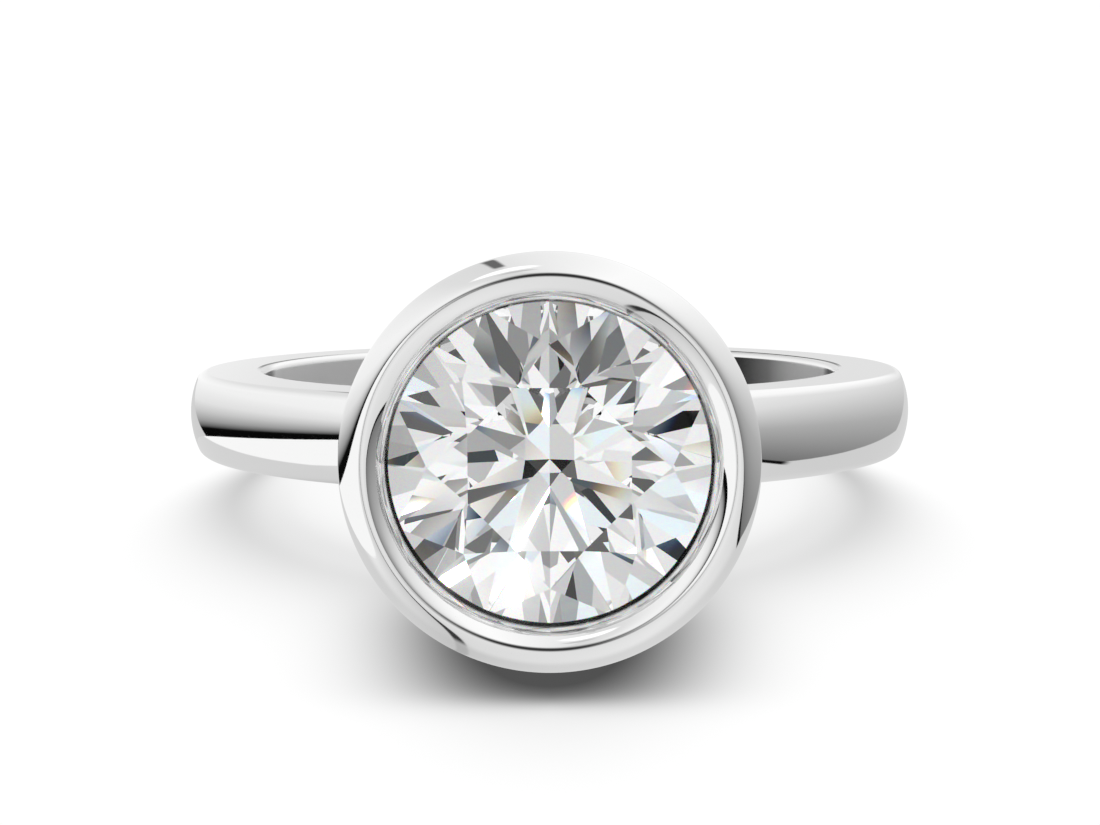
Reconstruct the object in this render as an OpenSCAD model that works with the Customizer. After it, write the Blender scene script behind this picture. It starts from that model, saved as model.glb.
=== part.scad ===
// Bezel set solitaire ring, lying on its side as it rests by itself on a flat surface.
// The floor is at z = 0, the finger hole's axis leans a little from vertical, and the stone faces -Y.
// The ring is drawn upright first, in its own frame: the stone's axis is +Z, the finger goes along Y,
// and the middle of the finger hole is the origin. The last step tilts it onto its two points of rest.
// All sizes are in millimetres.

/* [Shank] */
// Inside diameter of the finger hole
finger_d = 16.5; // [14.5:0.1:20]
// Thickness of the shank at the crown of its dome
shank_t = 2.1; // [1.6:0.05:2.2]
// Width of the shank along the finger
shank_w = 2.35; // [2:0.05:3.6]
// Rise of the dome on the outside of the shank
dome_h = 0.29; // [0.06:0.01:0.4]
// Rounding of the two outside edges
outer_edge_r = 0.32; // [0.1:0.01:0.45]
// Rounding of the two inside edges
inner_edge_r = 0.22; // [0.05:0.01:0.4]

/* [Bezel] */
// Thickness of the cup's wall, which ends in a full round at the rim and at the foot
wall_t = 1.09; // [0.9:0.01:1.3]
// Diameter of the round opening in the lip, where the stone shows
lip_d = 7.32; // [6.7:0.02:7.4]
// Height of the rim's middle over the crown of the shank
rim_rise = 3.45; // [3.1:0.05:4.5]
// Depth of the foot's middle under the crown of the shank
foot_drop = 0.35; // [0.2:0.05:0.6]
// Lean of the cup's wall from its axis, in degrees
cup_lean = 14; // [8:1:20]
// Diameter of the hole through the shank, under the point of the stone
culet_hole_d = 1.4; // [1:0.1:1.6]

/* [Stone] */
// Diameter of the stone at its girdle
stone_d = 7.56; // [7.52:0.01:7.7]
// Width of the table, corner to corner, as a share of the diameter
table_ratio = 0.514; // [0.48:0.002:0.62]
// Angle of the crown's main facets over the girdle, in degrees
crown_deg = 34.5; // [32:0.5:37]
// Angle of the pavilion's main facets under the girdle, in degrees
pavilion_deg = 41.2; // [40:0.1:41.8]
// Thickness of the girdle at the corners of its scallops
girdle_t = 0.18; // [0.16:0.01:0.3]
// Length of the star facets, as a share of the way from the table's edge to the girdle
star_ratio = 0.46; // [0.4:0.01:0.6]
// Length of the lower girdle facets, as a share of the way from the girdle to the point
lower_ratio = 0.81; // [0.7:0.01:0.85]
// Depth of the girdle's top under the rim's middle
girdle_drop = 0.16; // [0.14:0.01:0.3]
// Gap between the stone and the metal
stone_gap = 0.03; // [0.02:0.005:0.05]

/* [Hidden] */

$fn = 120;

// Shank section, in the plane of radius and width
finger_r = finger_d/2;
crown_r = finger_r + shank_t;
half_w = shank_w/2;
dome_r = (half_w*half_w + dome_h*dome_h)/(2*dome_h);
dome_mid = crown_r - dome_r;
corner_w = half_w - outer_edge_r;
corner_r = dome_mid + sqrt(pow(dome_r - outer_edge_r, 2) - corner_w*corner_w);
dome_w = corner_w*dome_r/(dome_r - outer_edge_r);
inner_w = half_w - inner_edge_r;

// Bezel section, measured from the rim's middle
rim_r = wall_t/2;
rim_mid_r = lip_d/2 + rim_r;
rim_dist = crown_r + rim_rise;
foot_z = -rim_rise - foot_drop;
foot_mid_r = rim_mid_r + foot_z*tan(cup_lean);

// Stone, measured from the top of its girdle
FOLDS = 8;
FOLD_DEG = 360/FOLDS;
GIRDLE_STEPS = 8;
stone_r = stone_d/2;
table_r = stone_r*table_ratio;
table_flat_r = table_r*cos(FOLD_DEG/2);
crown_h = (stone_r - table_r)*tan(crown_deg);
star_r = table_flat_r + (stone_r - table_flat_r)*star_ratio;
star_z = crown_h - (star_r*cos(FOLD_DEG/2) - table_r)*tan(crown_deg);
lower_r = stone_r*(1 - lower_ratio);
lower_z = -girdle_t - (stone_r - lower_r*cos(FOLD_DEG/2))*tan(pavilion_deg);
culet_z = -girdle_t - stone_r*tan(pavilion_deg);
crown_slope = star_z/(stone_r - star_r);

// Tilt at which the rim and the far edge of the shank both touch the floor
reach = rim_dist + corner_r;
lift = rim_mid_r - corner_w;
tilt = atan2(lift, reach) + asin((rim_r - outer_edge_r)/norm([reach, lift]));

// Place of the finger hole's middle, so that the origin is the middle of the ring's footprint
front_y = (rim_dist - girdle_drop + crown_h)*cos(tilt) + table_flat_r*sin(tilt);
back_y = dome_mid*cos(tilt) + dome_r;
hole_y = (front_y - back_y)/2;
hole_z = rim_mid_r*cos(tilt) + rim_r - rim_dist*sin(tilt);

// Tilts an upright ring onto the floor
module laid() {
    translate([0, hole_y, hole_z]) rotate([90 - tilt, 0, 0]) children();
}

// Section of the shank: straight sides, a dome outside, a straight wall inside, four round edges
module shank_section() {
    translate([finger_r + inner_edge_r, -half_w])
        square([corner_r - finger_r - inner_edge_r, shank_w]);
    translate([finger_r, -inner_w]) square([inner_edge_r, 2*inner_w]);
    intersection() {
        translate([dome_mid, 0]) circle(r = dome_r);
        translate([finger_r + inner_edge_r, -dome_w]) square([shank_t, 2*dome_w]);
    }
    for (side = [-1, 1]) {
        translate([finger_r + inner_edge_r, side*inner_w]) circle(r = inner_edge_r);
        translate([corner_r, side*corner_w]) circle(r = outer_edge_r);
    }
}

module shank() {
    rotate([90, 0, 0]) rotate_extrude() shank_section();
}

// Section of the cup: one leaning wall between the round rim and the round foot
module cup_section() {
    side = [rim_r*cos(cup_lean), -rim_r*sin(cup_lean)];
    rim = [rim_mid_r, 0];
    foot = [foot_mid_r, foot_z];
    translate(rim) circle(r = rim_r);
    translate(foot) circle(r = rim_r);
    polygon([rim + side, foot + side, foot - side, rim - side]);
}

// Space for the stone: the seat under the girdle, the wall beside it and the lip's underside over it
module stone_space_section() {
    space_r = stone_r + stone_gap;
    lip_in_r = lip_d/2 - rim_r;
    top = -girdle_drop + stone_gap;
    seat = -girdle_drop - girdle_t - stone_gap;
    polygon([
        [0, top + (stone_r - lip_in_r)*crown_slope],
        [lip_in_r, top + (stone_r - lip_in_r)*crown_slope],
        [space_r, top - stone_gap*crown_slope],
        [space_r, seat],
        [0, seat - space_r*tan(pavilion_deg)]
    ]);
}

// The shank and the cup are soldered into one piece of metal
module ring_mount() {
    color([0.86, 0.86, 0.87]) laid() difference() {
        union() {
            shank();
            translate([0, 0, rim_dist]) rotate_extrude() cup_section();
        }
        translate([0, 0, rim_dist]) rotate_extrude() stone_space_section();
        translate([0, 0, finger_r - shank_t]) cylinder(d = culet_hole_d, h = 2*shank_t);
    }
}

// A point of the stone at a radius, a direction in degrees and a height
function stone_point(r, az, z) = [r*cos(az), r*sin(az), z];

// Height at [x, y] of the plane through three points
function plane_z(a, b, c, x, y) =
    let (n = cross(b - a, c - a)) a.z - (n.x*(x - a.x) + n.y*(y - a.y))/n.z;

// A point of the girdle's edge: the girdle is round, so each flat girdle facet cuts a scallop in it.
// tip_r and tip_z place the facet's far tip, and edge_z is the height of the scallops' corners.
function girdle_point(j, tip_r, tip_z, edge_z) =
    let (
        az = j*FOLD_DEG/GIRDLE_STEPS,
        half = floor(2*j/GIRDLE_STEPS),
        tip = stone_point(tip_r, (floor(half/2) + 0.5)*FOLD_DEG, tip_z),
        from = stone_point(stone_r, half*FOLD_DEG/2, edge_z),
        to = stone_point(stone_r, (half + 1)*FOLD_DEG/2, edge_z),
        p = stone_point(stone_r, az, 0)
    ) [p.x, p.y, plane_z(tip, from, to, p.x, p.y)];

// Round brilliant with 8 main facets, 8 stars and 16 girdle facets over the girdle,
// 8 main facets and 16 girdle facets under it, a flat table and a point for the culet
module brilliant() {
    count = FOLDS*GIRDLE_STEPS;
    half = GIRDLE_STEPS/2;
    folds = [0:FOLDS - 1];
    rim = [0:count - 1];
    table = 0;
    star = table + FOLDS;
    top = star + FOLDS;
    bottom = top + count;
    lower = bottom + count;
    culet = lower + FOLDS;
    points = concat(
        [for (i = folds) stone_point(table_r, i*FOLD_DEG, crown_h)],
        [for (i = folds) stone_point(star_r, (i + 0.5)*FOLD_DEG, star_z)],
        [for (j = rim) girdle_point(j, star_r, star_z, 0)],
        [for (j = rim) girdle_point(j, lower_r, lower_z, -girdle_t)],
        [for (i = folds) stone_point(lower_r, (i + 0.5)*FOLD_DEG, lower_z)],
        [[0, 0, culet_z]]
    );
    faces = concat(
        [[for (i = folds) table + FOLDS - 1 - i]],
        [for (i = folds) [table + i, table + (i + 1)%FOLDS, star + i]],
        [for (i = folds) [table + i, star + i, top + i*GIRDLE_STEPS, star + (i + FOLDS - 1)%FOLDS]],
        [for (i = folds, s = [0, half])
            concat([star + i], [for (k = [half:-1:0]) top + (i*GIRDLE_STEPS + s + k)%count])],
        [for (j = rim) [top + j, top + (j + 1)%count, bottom + (j + 1)%count, bottom + j]],
        [for (i = folds, s = [0, half])
            concat([lower + i], [for (k = [0:half]) bottom + (i*GIRDLE_STEPS + s + k)%count])],
        [for (i = folds) [culet, lower + (i + FOLDS - 1)%FOLDS, bottom + i*GIRDLE_STEPS, lower + i]]
    );
    polyhedron(points, faces);
}

// The stone sits with two edges of its table square to the finger
module centre_stone() {
    color([0.93, 0.95, 0.98, 0.6]) laid()
        translate([0, 0, rim_dist - girdle_drop]) rotate([0, 0, FOLD_DEG/2]) brilliant();
}

ring_mount();
centre_stone();
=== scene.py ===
"""Dresses the bezel set ring: polished mount, cut stone, studio light, floor and camera.

All sizes are in metres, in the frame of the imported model. The ring's own frame has its origin in the
middle of the finger hole, the finger along Y and the stone's axis along +Z.
"""

import logging
import math
from dataclasses import dataclass, field
from enum import Enum
from typing import Any, Optional, Sequence, Union

import bmesh
import bpy
import numpy as np
from mathutils import Euler, Matrix, Vector


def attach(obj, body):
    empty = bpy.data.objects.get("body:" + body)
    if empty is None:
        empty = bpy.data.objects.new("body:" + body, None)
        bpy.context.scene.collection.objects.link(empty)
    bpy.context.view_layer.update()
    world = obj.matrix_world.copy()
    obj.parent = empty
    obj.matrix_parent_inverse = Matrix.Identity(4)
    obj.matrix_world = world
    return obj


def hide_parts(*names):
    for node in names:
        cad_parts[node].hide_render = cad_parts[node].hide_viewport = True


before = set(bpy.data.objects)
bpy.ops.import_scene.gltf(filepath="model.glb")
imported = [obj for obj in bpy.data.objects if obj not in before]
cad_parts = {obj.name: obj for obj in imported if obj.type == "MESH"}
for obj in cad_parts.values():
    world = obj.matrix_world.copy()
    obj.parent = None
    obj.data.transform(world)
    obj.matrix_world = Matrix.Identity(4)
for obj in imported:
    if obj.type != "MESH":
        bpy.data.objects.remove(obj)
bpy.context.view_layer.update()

MM = 0.001
BODY = "root"
WHITE = (1.0, 1.0, 1.0, 1.0)
BLACK = (0.0, 0.0, 0.0, 1.0)
DEGREES = 180.0 / math.pi
WELD = 1e-7
NOT_ZERO = 1e-12
FAR_OFF = 1.0
RAY_BOUNCES = 24
MIRROR_BOUNCES = 20
log = logging.getLogger("ring")

# Short names for types
Socket = bpy.types.NodeSocket
Level = Union[float, Socket]
Inputs = dict[Union[str, int], Any]
Colour = tuple[float, float, float, float]
Point = Sequence[float]
Stops = tuple[tuple[float, float], ...]
Bend = tuple[float, float, float, float]
Arrays = tuple[np.ndarray, np.ndarray]


class Ease(Enum):
    """How a level goes from its start to its end."""

    STRAIGHT = "LINEAR"
    SOFT = "SMOOTHSTEP"


class Joint(Enum):
    """What is done with overlapping solids."""

    JOINED = "UNION"
    CUT = "DIFFERENCE"


class Axis(Enum):
    """The ring's own axes, as columns of its placement."""

    SIDE = 0
    FINGER = 1
    STONE = 2


class Zone(Enum):
    """Parts of the stone that its finish tells apart by a mark on their facets."""

    CROWN = "crown"
    GIRDLE = "girdle"
    PAVILION = "pavilion"


class NodeSheet:
    """Adds nodes to one node tree and joins them."""

    def __init__(self, tree: bpy.types.NodeTree) -> None:
        """Starts on a tree."""
        self.tree = tree

    def fill(self, node: bpy.types.Node, inputs: Inputs) -> None:
        """Gives each input a constant, or joins one or more outputs to it.

        Args:
            node: The node.
            inputs: A constant, an output or a list of outputs for each input, by its name or number.
        """
        for name, given in inputs.items():
            for value in given if isinstance(given, list) else [given]:
                if isinstance(value, Socket):
                    self.tree.links.new(value, node.inputs[name])
                else:
                    node.inputs[name].default_value = value

    def add(self, kind: str, inputs: Optional[Inputs] = None, **settings: Any) -> bpy.types.Node:
        """Adds one node.

        Args:
            kind: The node's type name.
            inputs: What its inputs are given.
            settings: Attributes that are set on the node.

        Returns:
            The new node.
        """
        node = self.tree.nodes.new(kind)
        for name, value in settings.items():
            setattr(node, name, value)
        self.fill(node, inputs or {})
        return node

    def maths(self, operation: str, *values: Level, clamp: bool = False) -> Socket:
        """Adds a Math node.

        Args:
            operation: The node's operation.
            values: Its inputs, as numbers or sockets.
            clamp: Whether the result is held between 0 and 1.

        Returns:
            The result's socket.
        """
        node = self.add("ShaderNodeMath", dict(enumerate(values)), operation=operation, use_clamp=clamp)
        return node.outputs[0]

    def times(self, product: Level, *others: Level) -> Socket:
        """Multiplies levels.

        Args:
            product: The first level.
            others: The other levels.

        Returns:
            The product's socket.
        """
        for other in others:
            product = self.maths("MULTIPLY", product, other)
        return product

    def long_side(self, across: Level, along: Level) -> Socket:
        """Finds the distance that two steps square to each other make."""
        squares = self.maths("ADD", self.times(across, across), self.times(along, along))
        return self.maths("SQRT", squares)

    def dot(self, vector: Socket, direction: Sequence[float]) -> Socket:
        """Finds the share of a vector that lies along a direction."""
        node = self.add("ShaderNodeVectorMath", {0: vector, 1: tuple(direction)}, operation="DOT_PRODUCT")
        return node.outputs["Value"]

    def rise(
        self, value: Level, start: Level, end: Level, low: Level = 0.0, high: Level = 1.0,
        ease: Ease = Ease.SOFT,
    ) -> Socket:
        """Goes from one level to another while a value goes from start to end.

        Args:
            value: What is read.
            start: Where the change starts.
            end: Where the change ends.
            low: The level at the start.
            high: The level at the end.
            ease: The form of the change.

        Returns:
            The level's socket.
        """
        inputs = {"Value": value, "From Min": start, "From Max": end, "To Min": low, "To Max": high}
        return self.add("ShaderNodeMapRange", inputs, interpolation_type=ease.value, clamp=True).outputs[0]

    def bell(self, off: Level, width: Level, power: float = 2.0) -> Socket:
        """Makes a soft hump that is 1 in its middle and dies away to both sides.

        Args:
            off: How far a place is from the hump's middle.
            width: Where the hump has fallen to 37 per cent.
            power: How flat its top is.

        Returns:
            The level's socket.
        """
        share = self.maths("POWER", self.maths("DIVIDE", self.maths("ABSOLUTE", off), width), power)
        return self.maths("EXPONENT", self.times(share, -1.0))

    def blend(self, share: Level, first: Level, second: Level) -> Socket:
        """Goes from the first level at share 0 to the second at share 1."""
        inputs = {0: share, 2: first, 3: second}
        return self.add("ShaderNodeMix", inputs, data_type="FLOAT", clamp_factor=True).outputs[0]

    def tinted(self, share: Level, first: Any, second: Any) -> Socket:
        """Goes from the first colour at share 0 to the second at share 1."""
        inputs = {0: share, 6: first, 7: second}
        return self.add("ShaderNodeMix", inputs, data_type="RGBA", clamp_factor=True).outputs[2]

    def either(self, share: Level, first: Socket, second: Socket) -> Socket:
        """Goes from the first shader at share 0 to the second at share 1."""
        return self.add("ShaderNodeMixShader", {0: share, 1: first, 2: second}).outputs[0]

    def ramp(self, value: Socket, stops: Sequence[tuple[float, float]]) -> Socket:
        """Reads a line of levels.

        Args:
            value: Where the line is read.
            stops: Pairs of place and linear level, in order.

        Returns:
            The level's socket.
        """
        first, last = stops[0][0], stops[-1][0]
        node = self.add("ShaderNodeValToRGB", {0: self.rise(value, first, last, ease=Ease.STRAIGHT)})
        marks = node.color_ramp.elements
        while len(marks) < len(stops):
            marks.new(0.5)
        for mark, (place, level) in zip(marks, stops):
            mark.position = (place - first) / (last - first)
            mark.color = (level, level, level, 1.0)
        return node.outputs["Color"]

    def place(self) -> Socket:
        """Reads the place that is shaded, in the model's frame."""
        return self.add("ShaderNodeTexCoord").outputs["Object"]

    def mark(self, zone: Zone) -> Socket:
        """Reads whether a facet belongs to a zone."""
        mark = self.add("ShaderNodeAttribute", attribute_type="GEOMETRY", attribute_name=zone.value)
        return mark.outputs["Fac"]

    def noise(self, place: Socket, scale: float, **more: float) -> Socket:
        """Adds fine random mottling in space."""
        inputs = {"Vector": place, "Scale": scale, **more}
        return self.add("ShaderNodeTexNoise", inputs, noise_dimensions="3D").outputs[0]


def linear(shown: float) -> float:
    """Turns a level as it shows on a screen, from 0 to 1, into a light level."""
    return shown / 12.92 if shown <= 0.04045 else ((shown + 0.055) / 1.055) ** 2.4


def lens_frame(side_deg: float, rise_deg: float) -> tuple[Vector, Vector, Vector]:
    """Finds the directions of a lens that looks at the ring.

    Args:
        side_deg: How far to the right of -Y the lens is.
        rise_deg: How far it is over the floor.

    Returns:
        The direction towards the lens, its right and its up.
    """
    side, rise = math.radians(side_deg), math.radians(rise_deg)
    axis = Vector((math.sin(side) * math.cos(rise), -math.cos(side) * math.cos(rise), math.sin(rise)))
    right = Vector((math.cos(side), math.sin(side), 0.0))
    return axis, right, right.cross(-axis).normalized()


@dataclass(frozen=True)
class Placement:
    """How the ring lies on the floor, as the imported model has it."""

    tilt_deg: float = 8.599277
    hole_y: float = 2.370709 * MM
    hole_z: float = 2.639313 * MM

    def matrix(self) -> Matrix:
        """Makes the step from the ring's own frame to the model's frame."""
        turn = Matrix.Rotation(math.radians(90.0 - self.tilt_deg), 4, "X")
        return Matrix.Translation((0.0, self.hole_y, self.hole_z)) @ turn

    def lay(self, piece: bpy.types.Object) -> bpy.types.Object:
        """Lays a piece on the floor by moving its mesh.

        Args:
            piece: A piece in the ring's own frame.

        Returns:
            The same piece.
        """
        piece.data.transform(self.matrix())
        piece.data.update()
        return piece


@dataclass(frozen=True)
class RingPlace:
    """Measures places in the ring's own frame, in a finish's nodes."""

    sheet: NodeSheet
    lying: Placement = Placement()
    # painted shade: by height, where the painted line between stone and lip is weaker and stronger
    lip_shade_heights: tuple[float, float] = (2.2 * MM, -0.2 * MM)
    lip_shade_levels: tuple[float, float] = (0.5, 0.95)

    def along(self, axis: Axis) -> Socket:
        """Finds how far a place is from the middle of the finger hole, along one axis.

        Args:
            axis: The axis.

        Returns:
            The distance's socket, in metres.
        """
        step = self.lying.matrix()
        way = step.col[axis.value].to_3d()
        off = self.sheet.dot(self.sheet.place(), way)
        return self.sheet.maths("SUBTRACT", off, step.translation.dot(way))

    def from_stone_axis(self) -> Socket:
        """Finds how far a place is from the stone's axis, in metres."""
        return self.sheet.long_side(self.along(Axis.SIDE), self.along(Axis.FINGER))

    def from_finger_axis(self) -> Socket:
        """Finds how far a place is from the axis of the finger hole, in metres."""
        return self.sheet.long_side(self.along(Axis.SIDE), self.along(Axis.STONE))

    def lip_shade_line(self, start: float, end: float) -> Socket:
        """Finds the painted shade line between stone and lip, which is strongest at the sides and low down.

        Args:
            start: Distance from the stone's axis at which the line is not yet seen.
            end: Distance at which it is whole.

        Returns:
            How dark the painted shade makes the place, from 0 to 1.
        """
        line = self.sheet.rise(self.from_stone_axis(), start, end)
        strength = self.sheet.rise(self.along(Axis.FINGER), *self.lip_shade_heights, *self.lip_shade_levels)
        return self.sheet.times(line, strength)


class Outline:
    """A closed section drawn counter-clockwise, with the way that it faces at each point."""

    def __init__(self) -> None:
        """Starts with no points."""
        self.points: list[Point] = []
        self.start_normals: list[Point] = []
        self.end_normals: list[Point] = []

    def arc(self, middle: Point, radius: float, start: float, end: float, steps: int) -> None:
        """Adds an arc.

        Args:
            middle: The arc's centre.
            radius: Its radius.
            start: The angle that it starts at, in radians.
            end: The angle that it ends at.
            steps: The number of straight pieces that it is drawn with.
        """
        faces = [(math.cos(a), math.sin(a)) for a in np.linspace(start, end, steps + 1)]
        for this, following in zip(faces, faces[1:]):
            self.points.append((middle[0] + radius * this[0], middle[1] + radius * this[1]))
            self.start_normals.append(this)
            self.end_normals.append(following)

    def line(self, start: Point, end: Point, steps: int) -> None:
        """Adds a straight side.

        Args:
            start: Where it starts.
            end: Where it ends.
            steps: The number of pieces that it is cut into.
        """
        along = Vector(end) - Vector(start)
        facing = (along.y / along.length, -along.x / along.length)
        for i in range(steps):
            self.points.append((start[0] + along.x * i / steps, start[1] + along.y * i / steps))
            self.start_normals.append(facing)
            self.end_normals.append(facing)

    def distance(self, places: np.ndarray, batch: int = 4000) -> Arrays:
        """Measures how far places are outside the section.

        Args:
            places: Points in the section's plane, one a row.
            batch: The number of points that are measured at a time.

        Returns:
            The signed distances, and the way that the nearest part of the outline faces.
        """
        a = np.array(self.points)
        na, nb = np.array(self.start_normals), np.array(self.end_normals)
        along = np.roll(a, -1, axis=0) - a
        squares = (along**2).sum(1)
        gaps, faces = np.empty(len(places)), np.empty((len(places), 2))
        for k in range(0, len(places), batch):
            p = places[k:k + batch, None, :]
            t = (((p - a) * along).sum(2) / squares).clip(0.0, 1.0)
            foot = a + t[..., None] * along
            near = ((p - foot) ** 2).sum(2).argmin(1)
            rows = np.arange(len(near))
            share = t[rows, near][:, None]
            facing = na[near] * (1 - share) + nb[near] * share
            facing /= np.linalg.norm(facing, axis=1)[:, None]
            gaps[k:k + batch] = ((p[:, 0] - foot[rows, near]) * facing).sum(1)
            faces[k:k + batch] = facing
        return gaps, faces

    def turned_distance(self, places: np.ndarray, up: int) -> Arrays:
        """Measures how far points are outside the body that the section makes when it is turned.

        Args:
            places: Points in the ring's frame.
            up: The index of the axis that the body is turned about.

        Returns:
            The signed distances, and the way that the surface faces, as vectors.
        """
        across = [k for k in range(3) if k != up]
        radius = np.maximum(np.linalg.norm(places[:, across], axis=1), NOT_ZERO)
        gap, facing = self.distance(np.stack([radius, places[:, up]], axis=1))
        faces = np.zeros_like(places)
        faces[:, up] = facing[:, 1]
        for k in across:
            faces[:, k] = facing[:, 0] * places[:, k] / radius
        return gap, faces

    def drawn(self, name: str, path_radius: float) -> bpy.types.Object:
        """Draws the section as a closed wire for the turning nodes.

        Args:
            name: The wire's name.
            path_radius: Radius of the circle that the section is swept round.

        Returns:
            The wire as an object.
        """
        turned = [(x - path_radius, -y, 0.0) for x, y in reversed(self.points)]
        mesh = bpy.data.meshes.new(name)
        mesh.from_pydata(turned, [(i, (i + 1) % len(turned)) for i in range(len(turned))], [])
        return placed(name, mesh)


def placed(name: str, data: bpy.types.ID) -> bpy.types.Object:
    """Puts a mesh or a camera in the scene as an object.

    Args:
        name: The object's name.
        data: What it shows.

    Returns:
        The object.
    """
    thing = bpy.data.objects.new(name, data)
    bpy.context.scene.collection.objects.link(thing)
    return thing


class ShapeNodes:
    """Geometry Nodes that sweep wires into turned solids, repeat parts, and join and cut them."""

    def __init__(self, name: str, inputs: dict[str, str]) -> None:
        """Starts a tree with one geometry in and one out.

        Args:
            name: The tree's name.
            inputs: The socket type of each input that is added, by its name.
        """
        self.tree = bpy.data.node_groups.new(name, "GeometryNodeTree")
        self.sheet = NodeSheet(self.tree)
        self.sockets: dict[str, str] = {}
        for label, kind in {"Geometry": "Geometry", **inputs, "Finish": "Material"}.items():
            socket = self.tree.interface.new_socket(label, in_out="INPUT", socket_type=f"NodeSocket{kind}")
            self.sockets[label] = socket.identifier
        self.tree.interface.new_socket("Geometry", in_out="OUTPUT", socket_type="NodeSocketGeometry")
        self.given = self.sheet.add("NodeGroupInput").outputs

    def step(self, kind: str, inputs: Optional[Inputs] = None, **settings: Any) -> Socket:
        """Adds one node and gives its first output."""
        return self.sheet.add(f"GeometryNode{kind}", inputs, **settings).outputs[0]

    def wire(self, name: str) -> Socket:
        """Brings in a section that stands as an object of its own.

        Args:
            name: The input that gives the object.

        Returns:
            The section.
        """
        inputs = {"Object": self.given[name]}
        info = self.sheet.add("GeometryNodeObjectInfo", inputs, transform_space="ORIGINAL")
        return info.outputs["Geometry"]

    def turned(self, wire: Socket, radius: str, steps: str) -> Socket:
        """Sweeps a wire round a circle and closes the poles.

        Args:
            wire: The section.
            radius: The input that gives the circle's radius.
            steps: The input that gives its number of pieces.

        Returns:
            The turned solid.
        """
        inputs = {"Resolution": self.given[steps], "Radius": self.given[radius]}
        path = self.step("CurvePrimitiveCircle", inputs, mode="RADIUS")
        section = self.step("MeshToCurve", {"Mesh": wire})
        sweep = self.step("CurveToMesh", {"Curve": path, "Profile Curve": section})
        return self.step("MergeByDistance", {"Geometry": sweep, "Distance": WELD})

    def solid(self, joint: Joint, first: Socket, *others: Socket) -> Socket:
        """Joins solids, or cuts the later ones from the first.

        Args:
            joint: What is done.
            first: The first solid.
            others: The other solids.

        Returns:
            The whole solid.
        """
        inputs = {"Mesh 2": [first, *others]}
        if joint is Joint.CUT:
            inputs = {"Mesh 1": first, "Mesh 2": list(others)}
        node = self.sheet.add("GeometryNodeMeshBoolean", operation=joint.value, solver="MANIFOLD")
        self.sheet.fill(node, inputs)
        return node.outputs["Mesh"]

    def run(
        self, name: str, shape: Socket, start: bpy.types.Object, values: dict[str, Any],
    ) -> bpy.types.Object:
        """Closes the tree, runs it on an object and keeps the result as a plain mesh.

        Args:
            name: The new piece's name.
            shape: The geometry that the tree has made.
            start: The object that the tree starts from. It is removed.
            values: A value for each named input.

        Returns:
            The new piece.
        """
        real = self.step("RealizeInstances", {"Geometry": shape})
        finish = self.step("SetMaterial", {"Geometry": real, "Material": self.given["Finish"]})
        self.sheet.add("NodeGroupOutput", {0: finish})
        step = start.modifiers.new(self.tree.name, "NODES")
        step.node_group = self.tree
        for label, value in values.items():
            step[self.sockets[label]] = value
        bpy.context.view_layer.update()
        seen = start.evaluated_get(bpy.context.evaluated_depsgraph_get())
        mesh = bpy.data.meshes.new_from_object(seen)
        mesh.name = name
        bpy.data.objects.remove(start)
        return placed(name, mesh)


def smooth_join(a: np.ndarray, b: np.ndarray, na: np.ndarray, nb: np.ndarray, width: float) -> Arrays:
    """Joins two bodies with a small fillet.

    Args:
        a: Distances from the first body.
        b: Distances from the second body.
        na: The way that the first body faces.
        nb: The way that the second body faces.
        width: How far from the seam the fillet starts.

    Returns:
        The joined body's distances, and their slopes.
    """
    overlap = np.maximum(width - np.abs(a - b), 0.0)
    share = overlap / (2.0 * width)
    wa = np.where(a < b, 1.0 - share, share)[:, None]
    return np.minimum(a, b) - overlap**2 / (4.0 * width), wa * na + (1.0 - wa) * nb


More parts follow.
